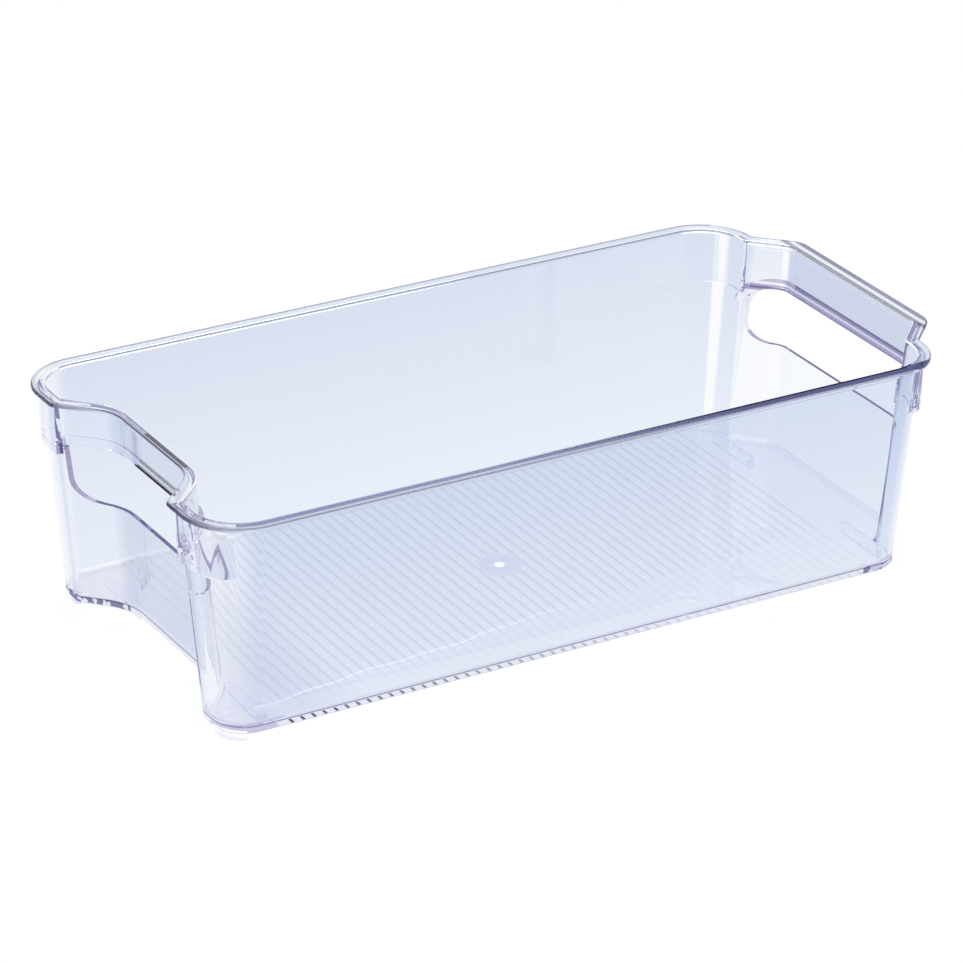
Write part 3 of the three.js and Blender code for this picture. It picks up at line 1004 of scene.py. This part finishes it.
    def rib_lines(self):
        """Painted shade: a darker line along the middle of each rib under the floor, fainter before the wavy
        line.
        """
        s = sizes()
        ribbed = (self.z < FOOT_TOP + RIB_LINE_HEIGHT) * (self.end < s.ribbed_length / 2)
        ribbed = ribbed * (abs(self.up) > FACING_LEVEL) * (self.y > s.rib_margin - floor_half_width())
        ribbed = ribbed * (self.from_gate() > s.gate_radius - MARGIN)
        strength = NEAR_RIB_SHARE + (1 - NEAR_RIB_SHARE) * (self.behind_ripple() > 0)
        return self.from_rib().ramp(s.rib_line / 2, 0).clamped(ribbed) * strength

    def behind_ripple(self):
        """How far a point of the floor lies behind the wavy line along its front."""
        behind = self.y + RIPPLE_INSET - self.x * RIPPLE_SLANT
        for stretch, height in RIPPLE_WAVES:
            behind = behind + self.shader.math("SINE", self.x / stretch) * height
        return behind

    def wavy_highlight(self):
        """Painted highlight: the wavy line along the front of the floor's top, which fades to the right."""
        near = abs(self.behind_ripple()).ramp(RIPPLE_WIDTH, 0)
        top = (self.up > RIPPLE_FACING) * (abs(self.z - FLOOR_TOP) < HAIR)
        return near.clamped(self.x.ramp(*RIPPLE_FADE).clamped(self.x > RIPPLE_END) * top)

    def ticks(self):
        """The ribs' ends in the floor's edge, given a dark painted glow: light that came in there meets the
        floor's top from below.
        """
        s = sizes()
        inset = floor_half_width() - self.side
        within = inset.between(s.tick_inset, s.tick_inset + s.tick_length) * (self.end < s.ribbed_length / 2)
        fading = (TICK_SHARE - self.x / TICK_FADE).larger(FAR_TICK_SHARE)
        return (self.from_rib() < s.tick_width / 2) * within * fading * (self.run > TICK_RUN)

    def pale(self):
        """Where little colour leaks: at the ledges and the creases but for that of the near right post."""
        half = LEFT_HOLE_WIDTH / 2
        below = (self.z < HOLE_TOP - sizes().hole_height) * (self.side > half - PALE_LOWER)
        above = (self.z > HOLE_TOP) * (self.side > half - PALE_UPPER)
        under_rim = self.z < rim_underside() - PALE_RIM_DEPTH
        left = self.x < PALE_LEFT - HALF_LENGTH
        left = left + (self.x < PALE_LOW_LEFT - HALF_LENGTH) * (self.z < HOLE_TOP)
        right = (self.x > HALF_LENGTH - PALE_RIGHT) * (1 - self.front * (self.side < PALE_NEAR_SIDE))
        post = (below.larger(above).larger(self.side > half) * under_rim).clamped(left + right)
        rim = self.in_end() * self.left * (self.z > rim_underside() - PALE_RIM_DEPTH) * WEAK
        return post.larger(rim)

    def front_corners(self):
        """The corners of the floor's front edge, without the feet."""
        corner = self.front * (self.side > FRONT_CORNER_SIDE) * (self.end > FRONT_CORNER_END)
        return corner * (self.z > FOOT_TOP - FEET_CLEAR)


def tint_with_painted_light(spot):
    """What the plastic lets through from place to place, with painted light and shade: lighter and darker
    tints stand in for how light passes through it. A later mask covers an earlier one.
    """
    look, s = looks(), sizes()
    tint = spot.rise().mix(linear(look.low_sheet), linear(look.sheet))
    for mask, colour in (
            (spot.in_end() * spot.lighter(), look.flank),
            (spot.middle() * spot.left, look.recess),
            (spot.middle() * spot.right * spot.grip(), look.grip),
            (spot.right_rim_top(), look.grip),
            (spot.low(), look.floor),
            (spot.left_floor_shade(), look.left_floor_shade),
            # Painted light: the floor plate's outer edges are left untinted, whiter
            (spot.low() * (abs(spot.up) < FACING_LEVEL), (1, 1, 1)),
            (spot.posts(), look.flank),
            (spot.bands(), look.band),
            (spot.rib_lines(), look.rib),
            (spot.gate_spot(s.gate_radius, GATE_SOFTNESS), look.gate),
            (spot.rim_lines().larger(spot.rim_strip()), look.line),
            (spot.cut_face_shade(), look.cut),
            (spot.near_crease(), look.cut)):
        tint = mask.mix(tint, linear(colour))
    return tint


def leaking_light(shader, spot):
    """Shaders for light that leaks out, partly painted light and shade: tinted by the edge it leaves from, or
    lit by a painted glow in the floor's edge.
    """
    look = looks()
    edge = choose(shader, spot.pale(), see_through(shader, look.edge), see_through(shader, look.pale_edge))
    floor = choose(shader, spot.front_corners(),
                   glowing(shader, look.floor_edge), glowing(shader, look.violet_floor_edge))
    floor = choose(shader, spot.ticks(), floor, glowing(shader, look.tick))
    return choose(shader, spot.low(), edge, floor)


def clear_plastic():
    """Clear moulded plastic. Light that is caught between its faces leaks out again, tinted, partly as
    painted light and shade; a painted glint at the gate mark, a painted highlight along the floor and painted
    dark lines lie over it.
    """
    look, s = looks(), sizes()
    material, shader = new_material("clear_plastic")
    spot = Spot(shader)
    # Painted glint at the gate mark's nub and painted highlight in the wavy line, both given off as light
    glint = spot.gate_spot(s.gate_nub + GLINT_MARGIN, GLINT_SOFTNESS)
    glow = glint.mix(linear((0, 0, 0)), linear(look.glint))
    plastic = shader.new(
        "ShaderNodeBsdfPrincipled", Base_Color=tint_with_painted_light(spot), Roughness=ROUGHNESS, IOR=IOR,
        Transmission_Weight=1.0, Emission_Color=spot.wavy_highlight().mix(glow, linear(look.wavy_highlight)),
        Emission_Strength=1.0)
    path = shader.node("ShaderNodeLightPath")
    caught = shader.out(path, "Glossy Depth") > CAUGHT_AFTER - (CAUGHT_AFTER - LOW_CAUGHT_AFTER) * spot.low()
    lost = shader.out(path, "Ray Depth") > LOST_AFTER
    first_leak = (shader.out(path, "Transparent Depth") < FIRST_CROSSING) * (1 - lost)
    leak = choose(shader, first_leak, see_through(shader, (1, 1, 1)), leaking_light(shader, spot))
    body = choose(shader, caught.larger(lost), plastic, leak)
    # Painted shade: dark see-through lines and spots over the rim, the floor plate's edges and the left grip
    for lines, colour in (
            (spot.violet_rim_shade(), look.violet),
            (spot.base_lines(), look.line),
            (spot.shade_specks(), look.speck_shade),
            (spot.dark_grip_line(), look.black)):
        body = choose(shader, lines, body, see_through(shader, colour))
    surface = choose(shader, shader.out(path, "Is Shadow Ray"), body, see_through(shader, look.shadow))
    loss = shader.new("ShaderNodeVolumeAbsorption", Color=linear(look.depth), Density=look.density)
    shader.node("ShaderNodeOutputMaterial", Surface=surface, Volume=loss)
    return material


class ORGANIZER_OT_finish(bpy.types.Operator):
    """Smooths the moulding, gives it its plastic and sets it in the frame"""

    bl_idname = "organizer.finish"
    bl_label = "Finish"

    def execute(self, context):
        piece = the_bin()
        focus(piece)
        bpy.ops.object.mode_set(mode="EDIT")
        bpy.ops.mesh.select_all(action="SELECT")
        bpy.ops.mesh.remove_doubles(threshold=WELD)
        bpy.ops.object.mode_set(mode="OBJECT")
        bpy.ops.object.shade_smooth_by_angle(angle=SMOOTH_ANGLE)
        flats = piece.modifiers.new("Flats", "WEIGHTED_NORMAL")
        flats.keep_sharp = True
        flats.weight = 100
        bpy.ops.object.modifier_apply(modifier=flats.name)
        piece.data.materials.clear()
        piece.data.materials.append(clear_plastic())
        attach(piece, "root")
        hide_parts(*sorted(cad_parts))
        return {"FINISHED"}


# Stage

# The camera's lens and sensor in millimetres, its aim and distance in metres; lamps: name, place, size, watts
CAMERA_LENS = 177.67
CAMERA_AIM = Vector((-0.00676, 0.00194, 0.04086))
CAMERA_DISTANCE = 1.772
CAMERA_HEADING = math.radians(30.336)
CAMERA_FALL = math.radians(25.498)
CAMERA_ROLL = math.radians(0.648)
CAMERA_SENSOR = 36
CAMERA_NEAREST = 0.05
GROUND_SIZE = 6
GROUND_DROP = 0.5 * MM
GROUND_COLOUR = (0.93, 0.93, 0.94)
GROUND_GLOW = 0.8
ROOM_COLOUR = (0.9, 0.93, 1)
ROOM_STRENGTH = 0.7
WHITE = (1, 1, 1)
LAMPS = (("overhead", (0.1, 0.2, 1.6), 1.4, 14), ("left", (-1.4, -0.9, 0.9), 0.9, 8))


def seen(shader):
    """One for the camera's own rays, for reflections and for what is seen through the plastic."""
    path = shader.node("ShaderNodeLightPath")
    rays = shader.out(path, "Is Camera Ray") + shader.out(path, "Is Glossy Ray")
    return rays + shader.out(path, "Is Transmission Ray")


class ORGANIZER_OT_stage(bpy.types.Operator):
    """White floor, white surroundings, soft lamps and the camera"""

    bl_idname = "organizer.stage"
    bl_label = "Studio"

    def floor(self):
        deselect()
        bpy.ops.mesh.primitive_plane_add(size=GROUND_SIZE, location=(0, 0, -GROUND_DROP))
        ground = bpy.context.object
        ground.name = "studio_floor"
        material, shader = new_material("studio_floor")
        matt = shader.new("ShaderNodeBsdfDiffuse", Color=linear(GROUND_COLOUR))
        surface = choose(shader, seen(shader) * GROUND_GLOW, matt, glowing(shader, WHITE))
        shader.node("ShaderNodeOutputMaterial", Surface=surface)
        ground.data.materials.append(material)

    def world(self):
        world = bpy.data.worlds.new("studio")
        bpy.context.scene.world = world
        world.use_nodes = True
        world.node_tree.nodes.clear()
        shader = Maths(world.node_tree, None)
        dim, white = (
            shader.new("ShaderNodeBackground", Color=linear(colour), Strength=strength)
            for colour, strength in ((ROOM_COLOUR, ROOM_STRENGTH), (WHITE, 1.0)))
        shader.node("ShaderNodeOutputWorld", Surface=choose(shader, seen(shader), dim, white))

    def lamp(self, name, place, size, watts):
        deselect()
        bpy.ops.object.light_add(type="AREA", location=place)
        lamp = bpy.context.object
        lamp.name = name
        lamp.data.shape = "DISK"
        lamp.data.size = size
        lamp.data.energy = watts
        lamp.rotation_euler = (-Vector(place)).to_track_quat("-Z", "Y").to_euler()

    def camera(self):
        ahead = Vector((
            math.sin(CAMERA_HEADING) * math.cos(CAMERA_FALL),
            math.cos(CAMERA_HEADING) * math.cos(CAMERA_FALL),
            -math.sin(CAMERA_FALL)))
        across = Vector((math.cos(CAMERA_HEADING), -math.sin(CAMERA_HEADING), 0))
        up = across.cross(ahead)
        turn_by = Matrix.Rotation(-CAMERA_ROLL, 3, ahead)
        across, up = turn_by @ across, turn_by @ up
        deselect()
        bpy.ops.object.camera_add()
        camera = bpy.context.object
        camera.name = "photo_view"
        camera.data.lens = CAMERA_LENS
        camera.data.sensor_width = CAMERA_SENSOR
        camera.data.clip_start = CAMERA_NEAREST
        axes = Matrix((across, up, -ahead)).transposed().to_4x4()
        camera.matrix_world = Matrix.Translation(CAMERA_AIM - ahead * CAMERA_DISTANCE) @ axes
        bpy.context.scene.camera = camera

    def execute(self, context):
        self.floor()
        self.world()
        for lamp in LAMPS:
            self.lamp(*lamp)
        self.camera()
        context.scene.view_settings.view_transform = "Standard"
        return {"FINISHED"}


OPERATORS = (
    ORGANIZER_OT_shell, ORGANIZER_OT_ledges, ORGANIZER_OT_beads, ORGANIZER_OT_hand_holes,
    ORGANIZER_OT_ribs, ORGANIZER_OT_feet, ORGANIZER_OT_finish, ORGANIZER_OT_stage,
)


class ORGANIZER_PT_panel(bpy.types.Panel):
    """Lists the steps in the order in which they are taken"""

    bl_idname = "ORGANIZER_PT_panel"
    bl_label = "Clear Drawer Organizer"
    bl_space_type = "VIEW_3D"
    bl_region_type = "UI"
    bl_category = "Organizer"

    def draw(self, context):
        for operator in OPERATORS:
            self.layout.operator(operator.bl_idname)


CLASSES = (OrganizerSizes, OrganizerLooks, *OPERATORS, ORGANIZER_PT_panel)


def register():
    for each in CLASSES:
        bpy.utils.register_class(each)
    bpy.types.Scene.organizer_sizes = bpy.props.PointerProperty(type=OrganizerSizes)
    bpy.types.Scene.organizer_looks = bpy.props.PointerProperty(type=OrganizerLooks)


def unregister():
    del bpy.types.Scene.organizer_sizes
    del bpy.types.Scene.organizer_looks
    for each in reversed(CLASSES):
        bpy.utils.unregister_class(each)


def main():
    register()
    bpy.ops.organizer.shell()
    bpy.ops.organizer.ledges()
    bpy.ops.organizer.beads()
    bpy.ops.organizer.hand_holes()
    bpy.ops.organizer.ribs()
    bpy.ops.organizer.feet()
    bpy.ops.organizer.finish()
    bpy.ops.organizer.stage()


if __name__ == "__main__":
    main()
